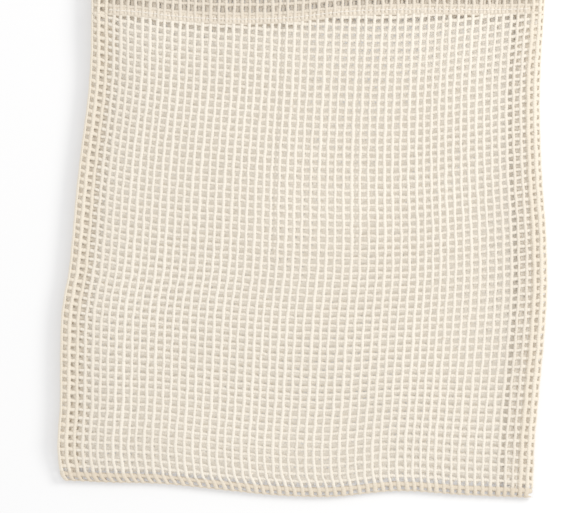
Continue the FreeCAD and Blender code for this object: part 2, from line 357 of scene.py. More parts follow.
def body_point(wale, row, is_back):
    """A place in the front or the back, in its turned edges or in its allowances. Rows just below
    0 go on round the fold at the bottom."""
    wale, row = np.broadcast_arrays(np.asarray(wale, float), np.asarray(row, float))
    share, up = share_of(wale), np.clip(row / net().rows, 0, 1)
    stray = shape().drift if is_back else 0
    levels = seam_levels(up)
    ply, allowance = (levels[0], levels[1]) if is_back else (levels[3], levels[2])
    radius, middle = np.abs(ply - allowance) / 2, (ply + allowance) / 2
    under = shape().back_height
    fold_radius = (front_height(0 * share, fold_y(wale), share, 0 * share) - under) / 2
    length = cloth_length(wale, np.abs(row), stray) * np.where(row < 0, -1, 1)
    inward, fold_side = turned(length, fold_radius)
    y = fold_y(wale) + inward + (math.pi / 2 - 1) * fold_radius * ease(up, 0.02, 0.2)
    x, side = across(wale, y, radius)
    inner = ease(np.minimum(share, 1 - share), 0, 0.05)
    x = x + 0.1 * MM * np.sin(row * 0.8 + wale * 2.9) * inner * ease(up, 0, 0.03)
    if is_back:
        strayed = stray * stray_share(share, up, 6, 0.28, 0.13)
        x = x + strayed * ease(np.minimum(share, 1 - share), 0, 0.12)
        outer = ply + 0.1 * MM * (1 + ripple(8, x, y, 0.05)) * ease(side, 0.9, 1) * ease(up, 0, 0.05)
        return np.stack([x, y, np.where(side > 0.999, outer, middle - side * radius)], axis=-1)
    outer = front_height(x, y, share, up)
    z = np.where(side > 0.999, outer, middle + side * radius)
    z = np.where(fold_side < 0.999, under + fold_radius * (1 + fold_side), z)
    return np.stack([x, y, z], axis=-1)


def front(wale, row):
    """A place in the front, whose outer side is up."""
    return body_point(wale, row, False)


def back(wale, row):
    """A place in the back, whose outer side is down."""
    return body_point(wale, row, True)


def casing(name):
    """The surface of one side's casing: row 0 at its stitching, and on over the mouth's edge."""
    outer, _, lining = CASING_LEVELS[name]
    radius, middle = abs(outer - lining) / 2, (outer + lining) / 2
    seam_plies = (3, 2) if name == "front" else (0, 1)

    def place(wale, row):
        wale, row = np.broadcast_arrays(np.asarray(wale, float), np.asarray(row, float))
        hem, rows = hem_y(wale), net().casing_rows
        length = MOUTH_Y - hem + (math.pi / 2 - 1) * radius
        inward, mouth_side = turned(length * (1 - row / rows), radius)
        y = MOUTH_Y - inward
        ply, allowance = (seam_levels(1.0)[index] for index in seam_plies)
        seam_radius = abs(ply - allowance) / 2
        x, side = across(wale, y, seam_radius)
        share = share_of(wale)
        inner = ease(np.minimum(share, 1 - share), 0, 0.05)
        slipped = LINING_SLIP * (1 - ease(mouth_side, -1, 0.2)) * inner
        x = x + 0.12 * MM * np.sin(row * 0.9 + wale * 2.9) * inner + slipped
        pucker = PUCKER * ripple(12, x, y * 0.2, 0.02) * inner * ease(mouth_side, 0, 1)
        z = middle + mouth_side * (outer - lining) / 2 + pucker
        edge = (ply + allowance) / 2 + side * (ply - allowance) / 2
        return np.stack([x, y, np.where(side < 0.999, edge, z)], axis=-1)

    return place


def hem_strip(name):
    """The surface of the turned-under hem inside one side's casing, with closer rows."""
    level = CASING_LEVELS[name][1]

    def place(wale, row):
        wale, row = np.broadcast_arrays(np.asarray(wale, float), np.asarray(row, float))
        y = hem_y(wale) + row * HEM_PITCH
        x, _ = across(wale, y, HEM_TURN)
        return np.stack([x, y, level + 0.1 * MM * np.sin(wale * 1.3 + row)], axis=-1)

    return place


def allowance_levels(y, wale):
    """Heights of the back's allowance and the front's, at a place along a side seam."""
    return seam_levels((y - fold_y(wale)) / (hem_y(wale) - fold_y(wale)))[1:3]


def mouth_limit(wale):
    """How far along the bag the seam allowances go."""
    return MOUTH_Y - ALLOWANCE_INSET + 0 * wale


# --- yarns into meshes ------------------------------------------------------------------------


class Yarns:
    """Closed tubes of yarn, gathered into one mesh."""

    def __init__(self):
        self.points, self.corners, self.starts, self.around, self.tones = [], [], [], [], []
        self.count, self.corner_count = 0, 0

    def tube(self, centre, sideways, up, half_width, half_height, tone, sides):
        """One closed tube along the centres. Sideways and up are unit vectors at each of them."""
        rings = len(centre)
        along = np.gradient(centre, axis=0)
        turn = np.sign(np.sum(np.cross(sideways, up) * along)) or 1
        angle = turn * 2 * math.pi * (np.arange(sides) + (0.5 if sides == 4 else 0)) / sides
        spread = 1.2 if sides == 4 else 1.0
        wide = (spread * half_width * np.ones(rings))[:, None, None] * np.cos(angle)[None, :, None]
        tall = (half_height * np.ones(rings))[:, None, None] * np.sin(angle)[None, :, None]
        points = centre[:, None] + wide * sideways[:, None] + tall * up[:, None]
        ring, side = np.meshgrid(np.arange(rings - 1), np.arange(sides), indexing="ij")
        after = (side + 1) % sides
        quads = np.stack([ring * sides + side, ring * sides + after,
                          (ring + 1) * sides + after, (ring + 1) * sides + side], axis=-1)
        first = np.arange(sides)[::-1]
        last = (rings - 1) * sides + np.arange(sides)
        run = np.concatenate([[0], np.cumsum(np.linalg.norm(np.diff(centre, axis=0), axis=1))])
        lengths = np.stack([run[ring], run[ring], run[ring + 1], run[ring + 1]], axis=-1)
        turns = np.stack([side, side + 1, side + 1, side], axis=-1) / sides
        cap_lengths = np.concatenate([np.full(sides, run[0]), np.full(sides, run[-1])])
        self.points.append(points.reshape(-1, 3))
        self.corners.append(self.count + np.concatenate([quads.ravel(), first, last]))
        quad_count = len(quads.reshape(-1, 4))
        starts = np.concatenate([4 * np.arange(quad_count), 4 * quad_count + sides * np.arange(2)])
        self.starts.append(self.corner_count + starts)
        lengths = np.concatenate([lengths.ravel(), cap_lengths]) / (10 * MM)
        turns = np.concatenate([turns.ravel(), first / sides, np.arange(sides) / sides])
        self.around.append(np.stack([lengths, turns], axis=-1))
        self.tones.append(np.full(rings * sides, tone))
        self.count += rings * sides
        self.corner_count += 4 * quad_count + 2 * sides

    def piece(self, name, material):
        """The finished object, smooth, with its yarn map and its yarns' tones."""
        mesh = bpy.data.meshes.new(name)
        points, corners = np.concatenate(self.points), np.concatenate(self.corners)
        mesh.vertices.add(len(points))
        mesh.vertices.foreach_set("co", points.astype(np.float32).ravel())
        mesh.loops.add(len(corners))
        mesh.loops.foreach_set("vertex_index", corners.astype(np.int32))
        starts = np.concatenate(self.starts)
        mesh.polygons.add(len(starts))
        mesh.polygons.foreach_set("loop_start", starts.astype(np.int32))
        mesh.update(calc_edges=True)
        mesh.polygons.foreach_set("use_smooth", np.ones(len(starts), bool))
        layer = mesh.uv_layers.new(name="yarn")
        layer.data.foreach_set("uv", np.concatenate(self.around).astype(np.float32).ravel())
        tones = mesh.attributes.new("tone", "FLOAT", "POINT")
        tones.data.foreach_set("value", np.concatenate(self.tones).astype(np.float32))
        mesh.materials.append(material)
        piece = bpy.data.objects.new(name, mesh)
        bpy.context.scene.collection.objects.link(piece)
        return piece


def unit(vectors):
    """The vectors at length 1."""
    return vectors / np.maximum(np.linalg.norm(vectors, axis=-1, keepdims=True), 1e-12)


def weave_frame(place, wale, row):
    """Points of the cloth, and the unit vectors across it, up it and out of it."""
    step = 0.04
    over = unit(place(wale + step, row) - place(wale - step, row))
    along = unit(place(wale, row + step) - place(wale, row - step))
    return place(wale, row), over, along, unit(np.cross(over, along))


def runs(kept):
    """The first and last index of each unbroken run of what is kept."""
    edges = np.flatnonzero(np.diff(np.concatenate([[0], kept.astype(int), [0]])))
    return [(low, high - 1) for low, high in edges.reshape(-1, 2) if high - low > 1]


def knit(yarns, place, wales, rows, face=1, below=None, fine=True, wale_step=1, swell=1.0,
         tone=0.0, seed=1):
    """Adds a patch of net: wales in their range, and rows in theirs, cut off where the cloth
    passes the line below. Face is 1 where the chains stand out of the cloth and -1 where they
    stand under it. A higher tone is a deeper colour."""
    settings, random = net(), np.random.default_rng(seed)
    stitches = settings.stitches
    wale_sides, row_sides, per_stitch, per_opening = (6, 6, 2, 3) if fine else (5, 4, 1, 2)
    low_wale, high_wale = wales
    low_row, high_row = rows

    def kept(points, wale):
        if below is None:
            return np.ones(points.shape[:-1], bool)
        return points[..., 1] < below(wale)

    first, last = ((end - WALE_PHASE) / wale_step for end in wales)
    columns = WALE_PHASE + np.arange(math.ceil(first), math.floor(last) + 1) * wale_step
    rings = max(2, round((high_row - low_row) * stitches * per_stitch) + 1)
    ring = np.linspace(low_row, high_row, rings)
    wale, row = np.meshgrid(columns, ring, indexing="ij")
    if columns.size:
        points, over, along, out = weave_frame(place, wale, row)
        beat = np.round(row * stitches * per_stitch) * math.pi / per_stitch
        bulge = np.cos(2 * beat) if per_stitch > 1 else 0 * beat
        sway = 0.09 * MM * np.cos(beat + wale * math.pi) + 0.12 * MM * np.sin(row * 2.3 + wale * 4.1)
        centre = points + face * CHAIN_PROUD * out + sway[..., None] * over
        plump = 0.1 * np.sin(wale * 7.9) + 0.07 * np.sin(row * 0.9 + wale * 3.1)
        width = swell * settings.wale_width / 2 * (1 + 0.12 * bulge + plump)
        height = settings.wale_height / 2 * (1 + 0.1 * bulge)
        keep = kept(points, wale)
        near_side = np.minimum(columns, net().wales - columns)
        # Painted shade: the wales over the seam allowances, a few openings in from the sides, are
        # painted deeper.
        seam_shade = SIDE_SHADE * ease(near_side, 0, 2.5) * (1 - ease(near_side, 3.5, 8))
        tones = tone + seam_shade + random.random(len(columns))
        for index in range(len(columns)):
            for start, end in runs(keep[index]):
                part = slice(start, end + 1)
                yarns.tube(centre[index, part], over[index, part], out[index, part],
                           width[index, part], height[index, part], tones[index], wale_sides)

    courses = np.arange(math.ceil(low_row - 1e-6), math.floor(high_row + 1e-6) + 1)
    rings = max(2, round((high_wale - low_wale) * per_opening) + 1)
    row, wale = np.meshgrid(courses, np.linspace(low_wale, high_wale, rings), indexing="ij")
    if courses.size:
        points, over, along, out = weave_frame(place, wale, row)
        middle = np.abs(np.sin(math.pi * (wale - WALE_PHASE)))
        step = 0.17 * MM * np.sin(math.pi * wale) * np.where(np.round(row) % 2, 1, -1)
        loose = random.standard_normal(wale.shape) * 0.06 * MM * middle
        centre = points + (step + loose)[..., None] * along - face * ROW_SUNK * out
        slub = 0.1 * np.sin(wale * 1.9 + row * 2.7) + 0.07 * np.sin(wale * 5.3 - row * 1.1)
        width = swell * settings.row_width / 2 * (1 - 0.08 * middle + slub)
        keep = kept(points, wale)
        # Painted shade: the rows, which lie under the wales, are painted deeper than the wales.
        tones = tone + ROW_SHADE + random.random(len(courses))
        for index in range(len(courses)):
            for start, end in runs(keep[index]):
                part = slice(start, end + 1)
                yarns.tube(centre[index, part], along[index, part], out[index, part],
                           width[index, part], settings.row_height / 2, tones[index], row_sides)
    return yarns


# --- threads ----------------------------------------------------------------------------------


def thread(yarns, points, radius, tone, sides=5):
    """Adds a round thread along the points."""
    along = unit(np.gradient(points, axis=0))
    flat = np.cross(along, (0, 0, 1))
    flat = unit(np.where(np.linalg.norm(flat, axis=1, keepdims=True) < 0.05, (1, 0, 0), flat))
    yarns.tube(points, flat, np.cross(along, flat), radius, radius, tone, sides)


def stitching(yarns, line, length, upper, lower, seed):
    """Adds lock stitches along a line, a thread above the cloth and one below it. The line gives
    the points for shares of its length."""
    random = np.random.default_rng(seed)
    run = line(np.linspace(0, 1, 200))
    count = round(np.linalg.norm(np.diff(run, axis=0), axis=1).sum() / length)
    for index in range(count):
        holes = (index + np.array([0.07, 0.93]) + random.uniform(-0.05, 0.05, 2)) / count
        points = line(np.linspace(*holes, 7))
        arch = np.array([-0.6, 0, 0.8, 1, 0.8, 0, -0.6])
        sunk = THREAD_RADIUS * arch + random.uniform(-0.05, 0.05) * MM
        over, under = points.copy(), points.copy()
        over[:, 2] += upper + sunk
        under[:, 2] += lower - sunk
        thread(yarns, over, THREAD_RADIUS, random.random())
        thread(yarns, under, THREAD_RADIUS, random.random())


# --- materials --------------------------------------------------------------------------------


def new_group(name, inputs, outputs):
    """An empty shader node group with its sockets, and its input and output nodes."""
    group = bpy.data.node_groups.new(name, "ShaderNodeTree")
    for label, kind, value in inputs:
        socket = group.interface.new_socket(label, in_out="INPUT", socket_type="NodeSocket" + kind)
        if value is not None:
            socket.default_value = value
    for label, kind in outputs:
        group.interface.new_socket(label, in_out="OUTPUT", socket_type="NodeSocket" + kind)
    return group, group.nodes.new("NodeGroupInput"), group.nodes.new("NodeGroupOutput")


def math_node(tree, operation, first, second=None):
    """The result of a sum on two values, each a socket or a number."""
    node = tree.nodes.new("ShaderNodeMath")
    node.operation = operation
    for socket, value in zip(node.inputs, (first, second)):
        if isinstance(value, bpy.types.NodeSocket):
            tree.links.new(value, socket)
        elif value is not None:
            socket.default_value = value
    return node.outputs[0]


def noise_node(tree, vector, scale, detail=2.0, roughness=0.5):
    """A noise's value, over Object coordinates in metres."""
    node = tree.nodes.new("ShaderNodeTexNoise")
    tree.links.new(vector, node.inputs["Vector"])
    node.inputs["Scale"].default_value = scale
    node.inputs["Detail"].default_value = detail
    node.inputs["Roughness"].default_value = roughness
    return node.outputs["Fac"]


def range_node(tree, value, low, high, to_low=0.0, to_high=1.0):
    """The value taken from one range to another, smoothly, and kept inside it."""
    node = tree.nodes.new("ShaderNodeMapRange")
    node.interpolation_type = "SMOOTHSTEP"
    tree.links.new(value, node.inputs["Value"])
    for label, number in (("From Min", low), ("From Max", high), ("To Min", to_low),
                          ("To Max", to_high)):
        node.inputs[label].default_value = number
    return node.outputs["Result"]


def mix_node(tree, share, first, second, blend="MIX"):
    """Two colours mixed by a share, each a socket or a number or colour."""
    node = tree.nodes.new("ShaderNodeMix")
    node.data_type, node.blend_type = "RGBA", blend
    sockets = (node.inputs[0], node.inputs[6], node.inputs[7])
    for socket, value in zip(sockets, (share, first, second)):
        if isinstance(value, bpy.types.NodeSocket):
            tree.links.new(value, socket)
        else:
            socket.default_value = value
    return node.outputs[2]


def spun_yarn_group():
    """Chain stitches, twist and fuzz on a yarn, from its own map: a height, and its valleys as a mask
    for painted shade.
    """
    group, inside, outside = new_group(
        "Spun yarn", [("Stitches", "Float", 7.3), ("Twist", "Float", 2.0), ("Fuzz", "Float", 0.3)],
        [("Height", "Float"), ("Valley shade", "Float")])
    links = group.links
    yarn = group.nodes.new("ShaderNodeUVMap")
    yarn.uv_map = "yarn"
    split = group.nodes.new("ShaderNodeSeparateXYZ")
    links.new(yarn.outputs[0], split.inputs[0])
    along, around = split.outputs[0], split.outputs[1]
    place = group.nodes.new("ShaderNodeTexCoord").outputs["Object"]
    wobble = math_node(group, "MULTIPLY", noise_node(group, place, 900), 0.5)
    leg = math_node(group, "PINGPONG", math_node(group, "MULTIPLY", around, 2), 0.5)
    phase = math_node(group, "ADD", math_node(group, "MULTIPLY", along, inside.outputs[0]), leg)
    phase = math_node(group, "ADD", phase, wobble)
    loops = math_node(group, "ABSOLUTE", math_node(group, "SINE", math_node(group, "MULTIPLY",
                                                                            phase, math.pi)))
    turn = math_node(group, "ADD", math_node(group, "MULTIPLY", along, 26.0),
                     math_node(group, "MULTIPLY", around, inside.outputs[1]))
    plies = math_node(group, "SINE", math_node(group, "MULTIPLY", turn, 2 * math.pi))
    fuzz = math_node(group, "MULTIPLY", noise_node(group, place, 6500, 3), inside.outputs[2])
    height = math_node(group, "ADD", loops, math_node(group, "MULTIPLY", plies, 0.12))
    links.new(math_node(group, "ADD", height, fuzz), outside.inputs[0])
    # The valleys between stitches, as a mask for painted shade.
    links.new(range_node(group, loops, 0.0, 0.55, 1.0, 0.0), outside.inputs[1])
    return group


def raw_cotton_group():
    """The colour of raw cotton: warm valleys between the stitches, which are painted shade; uneven
    bleaching; yarns paler and deeper by their tone, which is partly their own and partly painted shade;
    and a few flecks.
    """
    group, inside, outside = new_group(
        "Raw cotton", [("Cotton", "Color", (1, 1, 1, 1)), ("Deep and shaded cotton", "Color", (1, 1, 1, 1)),
                       ("Fleck", "Color", (0, 0, 0, 1)), ("Valley shade", "Float", 0.0),
                       ("Flecks", "Float", 0.5)],
        [("Colour", "Color"), ("Roughness", "Float")])
    links = group.links
    cotton, deep, fleck, valley_shade, flecks = inside.outputs[:5]
    place = group.nodes.new("ShaderNodeTexCoord").outputs["Object"]
    tone = group.nodes.new("ShaderNodeAttribute")
    tone.attribute_name = "tone"
    broad = range_node(group, noise_node(group, place, 14, 3, 0.6), 0.3, 0.7)
    close = range_node(group, noise_node(group, place, 420, 2), 0.25, 0.75)
    # How deep the colour is: painted shade in the valleys between stitches, and uneven bleaching over
    # the cloth.
    shade_and_tone = math_node(group, "MULTIPLY", valley_shade, 0.28)
    shade_and_tone = math_node(group, "ADD", shade_and_tone, math_node(group, "MULTIPLY", broad, 0.12))
    shade_and_tone = math_node(group, "ADD", shade_and_tone, math_node(group, "MULTIPLY", close, 0.12))
    # Each yarn's tone: a random share that is its own, plus painted shade on the rows, the casing, the
    # fold and its tucked corners, and the wales near the side seams.
    yarn_tone_and_shade = math_node(group, "MULTIPLY", tone.outputs["Fac"], 0.12)
    shade_and_tone = math_node(group, "ADD", shade_and_tone, yarn_tone_and_shade)
    colour_now = mix_node(group, shade_and_tone, cotton, deep)
    speck = range_node(group, noise_node(group, place, 260, 1, 0.4), 0.765, 0.79)
    husk = math_node(group, "MULTIPLY", speck, flecks)
    stain = range_node(group, noise_node(group, place, 46, 1, 0.3), 0.74, 0.80, 0.0, 0.32)
    marked = mix_node(group, math_node(group, "MAXIMUM", husk, stain), colour_now, fleck)
    links.new(marked, outside.inputs[0])
    links.new(range_node(group, close, 0, 1, 0.82, 0.95), outside.inputs[1])
    return group


def yarn_material(name, cotton, deep, stitches, twist, relief, sheen, flecks):
    """Matt cotton yarn, with its loops, plies and fuzz raised."""
    material = bpy.data.materials.new(name)
    material.use_nodes = True
    tree = material.node_tree
    shader = tree.nodes["Principled BSDF"]
    spun, raw = tree.nodes.new("ShaderNodeGroup"), tree.nodes.new("ShaderNodeGroup")
    spun.node_tree = bpy.data.node_groups.get("Spun yarn") or spun_yarn_group()
    raw.node_tree = bpy.data.node_groups.get("Raw cotton") or raw_cotton_group()
    spun.inputs["Stitches"].default_value = stitches
    spun.inputs["Twist"].default_value = twist
    for label, value in (("Cotton", cotton), ("Deep and shaded cotton", deep), ("Fleck", colour("fleck")),
                         ("Flecks", flecks)):
        raw.inputs[label].default_value = value
    bump = tree.nodes.new("ShaderNodeBump")
    bump.inputs["Distance"].default_value = relief
    bump.inputs["Strength"].default_value = 0.5
    tree.links.new(spun.outputs["Valley shade"], raw.inputs["Valley shade"])
    tree.links.new(spun.outputs["Height"], bump.inputs["Height"])
    tree.links.new(bump.outputs["Normal"], shader.inputs["Normal"])
    tree.links.new(raw.outputs["Colour"], shader.inputs["Base Color"])
    tree.links.new(raw.outputs["Roughness"], shader.inputs["Roughness"])
    shader.inputs["Specular IOR Level"].default_value = 0.2
    shader.inputs["Sheen Weight"].default_value = sheen
    shader.inputs["Sheen Roughness"].default_value = 0.6
    shader.inputs["Sheen Tint"].default_value = cotton
    material.diffuse_color = cotton
    return material


def tinted(shade, by):
    """A colour multiplied by another."""
    return (*(one * two for one, two in zip(shade[:3], by)), 1)


def net_cotton():
    """The net's own yarn."""
    return bpy.data.materials.get("net_cotton") or yarn_material(
        "net_cotton", colour("cotton"), colour("deep_and_shaded_cotton"), 7.3, 2, 0.22 * MM, 0.15, 0.6)


def lit_back_cotton():
    """The back's yarn, painted paler than the front's: painted light that lifts the shade it lies in
    under the front.
    """
    return bpy.data.materials.get("lit_back_cotton") or yarn_material(
        "lit_back_cotton", colour("painted_light_cotton"), colour("cotton"), 7.3, 2, 0.22 * MM, 0.15, 0.4)


def shaded_seam_cotton():
    """The net where it is turned in at the side seams, a little yellower and deeper as painted shade of
    the plies beneath it.
    """
    return bpy.data.materials.get("shaded_seam_cotton") or yarn_material(
        "shaded_seam_cotton", tinted(colour("cotton"), (1.0, 0.96, 0.89)),
        tinted(colour("deep_and_shaded_cotton"), (0.95, 0.90, 0.82)), 7.3, 2, 0.22 * MM, 0.15, 0.8)


def shaded_casing_cotton():
    """The net in the casing, painted deeper and browner as the shade of its doubled plies."""
    return bpy.data.materials.get("shaded_casing_cotton") or yarn_material(
        "shaded_casing_cotton", tinted(colour("cotton"), (0.88, 0.82, 0.75)),
        tinted(colour("deep_and_shaded_cotton"), (0.86, 0.80, 0.72)), 7.3, 2, 0.22 * MM, 0.15, 0.7)


def sewing_thread():
    """Fine plied cotton thread."""
    return bpy.data.materials.get("sewing_thread") or yarn_material(
        "sewing_thread", colour("thread"), tinted(colour("thread"), (0.9, 0.86, 0.8)),
        14.0, 3, 0.05 * MM, 0.1, 0.0)


# --- pieces -----------------------------------------------------------------------------------


def cloth_size(wales, rows):
    """Width and length of the cloth in a range of openings, as it was cut."""
    width = (MOUTH_WIDTH / net().wales) * (wales[1] - wales[0])
    return width, ROW_PITCH * (rows[1] - rows[0])


def net_piece(name, yarns, material, nodes, size, body=BAG):
    """A finished piece of net, in place of its nodes."""
    piece = yarns.piece(name, material)
    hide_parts(*nodes)
    if body:
        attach(piece, body)
    return piece


def thread_piece(name, yarns, *nodes):
    """A finished piece of sewing thread, in place of its nodes."""
    piece = yarns.piece(name, sewing_thread())
    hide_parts(*nodes)
    return piece


def lift(piece, part):
    """Bakes a part of the mouth's front's placement into its mesh. The part is not bent."""
    hinge, reach = Vector(HINGE), MOUTH_Y - HINGE[1]
    start = Vector((LIFT_CENTRE, hinge.y, hinge.z))
    if part == "middle":
        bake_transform(piece)
        return
    side = -1 if part == "left" else 1
    start = start + Vector((side * LIFT_HALF, 0, 0))
    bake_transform(piece)


class BAG_OT_back_cloth(bpy.types.Operator):
    """Knits the back of the bag, which lies on the ground, up to the mouth's edge"""

    bl_idname = "net_bag.back_cloth"
    bl_label = "Back cloth"

    def execute(self, context):
        inner = (EDGE_REACH, net().wales - EDGE_REACH)
        half = net().bending_row + 0.5
        lower = knit(Yarns(), back, inner, (FOLD_REACH, half), face=-1, fine=False,
                     swell=BACK_SWELL, seed=31)
        net_piece("back_cloth_lower", lower, lit_back_cotton(), ["back_net"],
                  cloth_size(inner, (FOLD_REACH, half)))
        upper = knit(Yarns(), back, inner, (half, TOP_ROW), face=-1, below=hem_y, fine=False,
                     swell=BACK_SWELL, seed=32)
        knit(upper, casing("back"), inner, (0, net().casing_rows - FOLD_REACH), face=-1,
             fine=False, seed=33)
        net_piece("back_cloth_upper", upper, lit_back_cotton(), ["back_net"],
                  cloth_size(inner, (half, net().rows + net().casing_rows)))
        return {"FINISHED"}


class BAG_OT_bottom_fold(bpy.types.Operator):
    """Knits the stretch of net that turns up from the back to the front at the bottom"""

    bl_idname = "net_bag.bottom_fold"
    bl_label = "Bottom fold"

    def execute(self, context):
        wales, rows = (0, net().wales), (-FOLD_REACH, FOLD_REACH)
        # Painted shade: the fold is painted deeper, as the shade where the cloth turns under.
        yarns = knit(Yarns(), front, wales, rows, swell=FOLD_SWELL, tone=FOLD_SHADE, seed=34)
        net_piece("bottom_fold_cloth", yarns, shaded_seam_cotton(), ["bottom_fold"],
                  cloth_size(wales, rows))
        return {"FINISHED"}


class BAG_OT_front_cloth(bpy.types.Operator):
    """Knits the front of the bag: a lower half, and the mouth half in three parts"""

    bl_idname = "net_bag.front_cloth"
    bl_label = "Front cloth"

    def execute(self, context):
        inner = (EDGE_REACH, net().wales - EDGE_REACH)
        half = net().bending_row + 0.5
        quarter = math.floor(half / 2) + 0.5
        for seed, (name, rows) in enumerate((("bottom", (FOLD_REACH, quarter)),
                                             ("waist", (quarter, half))), 35):
            yarns = knit(Yarns(), front, inner, rows, seed=seed)
            net_piece(f"front_cloth_{name}", yarns, net_cotton(), ["front_net_lower"],
                      cloth_size(inner, rows))
        nodes = {"left": "front_net_left_margin", "middle": "front_net_mouth",
                 "right": "front_net_right_margin"}
        for seed, (part, wales) in enumerate(LIFTED.items(), 37):
            yarns = knit(Yarns(), front, wales, (half, TOP_ROW), below=hem_y, seed=seed)
            # Painted shade: the casing's outer rows are painted deeper, as the shade of its doubled
            # plies.
            knit(yarns, casing("front"), wales, (0, net().casing_rows - FOLD_REACH),
                 tone=CASING_SHADE, seed=seed + 10)
            piece = net_piece(f"front_cloth_mouth_{part}", yarns, net_cotton(), [nodes[part]],
                              cloth_size(wales, (half, net().rows + net().casing_rows)),
                              body=None)
            lift(piece, part)
        return {"FINISHED"}


class BAG_OT_side_edges(bpy.types.Operator):
    """Knits the turned edges of the front and back at both sides, and their seam allowances"""

    bl_idname = "net_bag.side_edges"
    bl_label = "Side edges"

    def execute(self, context):
        wales = net().wales
        rows = (FOLD_REACH, TOP_ROW)
        full = (FOLD_REACH, net().rows + net().casing_rows)
        for side, mirror in (("left", False), ("right", True)):
            def stretch(low, high):
                return (wales - high, wales - low) if mirror else (low, high)

            plies = (("front", front, 1), ("back", back, -1))
            for seed, (name, ply, face) in enumerate(plies, 50 + 4 * mirror):
                turn = stretch(-EDGE_UNDER, EDGE_REACH)
                yarns = knit(Yarns(), ply, turn, rows, face=face, below=hem_y, swell=EDGE_SWELL,
                             seed=seed)
                knit(yarns, casing(name), turn, (0, net().casing_rows), face=face, seed=seed + 10)
                net_piece(f"{side}_{name}_turned_edge", yarns, shaded_seam_cotton(),
                          [f"{side}_{name}_edge_turn"], cloth_size(turn, full))
                inside = stretch(-shape().allowance, -EDGE_UNDER)
                yarns = knit(Yarns(), ply, inside, (ALLOWANCE_ROW, TOP_ROW), face=face,
                             below=mouth_limit, fine=False, swell=SEAM_SWELL, seed=seed + 20)
                net_piece(f"{side}_{name}_seam_allowance", yarns, shaded_seam_cotton(),
                          [f"{side}_{name}_allowance"], cloth_size(inside, full))
        return {"FINISHED"}


class BAG_OT_casing(bpy.types.Operator):
    """Knits the casing: its lining, the fold at the mouth and the turned-under hem, and sews it"""

    bl_idname = "net_bag.casing"
    bl_label = "Casing"

    def make_part(self, name, part, wales, seed):
        """Knits and sews a part of one side's casing, and returns its pieces."""
        rows, face = net().casing_rows, 1 if name == "front" else -1
        ending = "" if name == "back" else f"_{part}"
        inner = (max(wales[0], LINING_WALE), min(wales[1], net().wales - LINING_WALE))
        over, lining = (rows - FOLD_REACH, rows + FOLD_REACH), (rows + FOLD_REACH, 2 * rows - 1)
        made = []
        yarns = knit(Yarns(), casing(name), inner, over, face=face, seed=seed)
        made.append(net_piece(f"{name}_mouth_edge{ending}", yarns, shaded_casing_cotton(),
                              [f"{name}_casing_fold{ending}"],
                              cloth_size(inner, over), body=None))
        yarns = knit(Yarns(), casing(name), inner, lining, face=face, fine=False, seed=seed + 1)
        made.append(net_piece(f"{name}_lining{ending}", yarns, shaded_casing_cotton(),
                              [f"{name}_casing_lining{ending}"],
                              cloth_size(inner, lining), body=None))
        yarns = knit(Yarns(), hem_strip(name), inner, (0, HEM_ROWS), face=face, fine=False,
                     wale_step=0.5, swell=HEM_SWELL, seed=seed + 2)
        width, _ = cloth_size(inner, (0, 1))
        made.append(net_piece(f"{name}_hem{ending}", yarns, shaded_casing_cotton(),
                              [f"{name}_casing_hem{ending}"],
                              (width, HEM_TAKE_UP * HEM_ROWS * HEM_PITCH), body=None))

        def line(share):
            wale = inner[0] + share * (inner[1] - inner[0])
            y = hem_y(wale) + STITCH_INSET
            return np.stack([across(wale, y, HEM_TURN)[0], y, 0 * y], axis=-1)

        outer, _, lining_level = CASING_LEVELS[name]
        high, low = max(outer, lining_level), min(outer, lining_level)
        yarns = Yarns()
        stitching(yarns, line, STITCH_LENGTH, high + YARN_SKIN, low - YARN_SKIN, seed + 3)
        made.append(thread_piece(f"{name}_casing_seam{ending}", yarns,
                                 f"{name}_casing_stitching{ending}"))
        return made

    def execute(self, context):
        for piece in self.make_part("back", "", (0, net().wales), 80):
            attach(piece, BAG)
        for seed, (part, wales) in enumerate(LIFTED.items()):
            for piece in self.make_part("front", part, wales, 90 + 5 * seed):
                lift(piece, part)
        return {"FINISHED"}


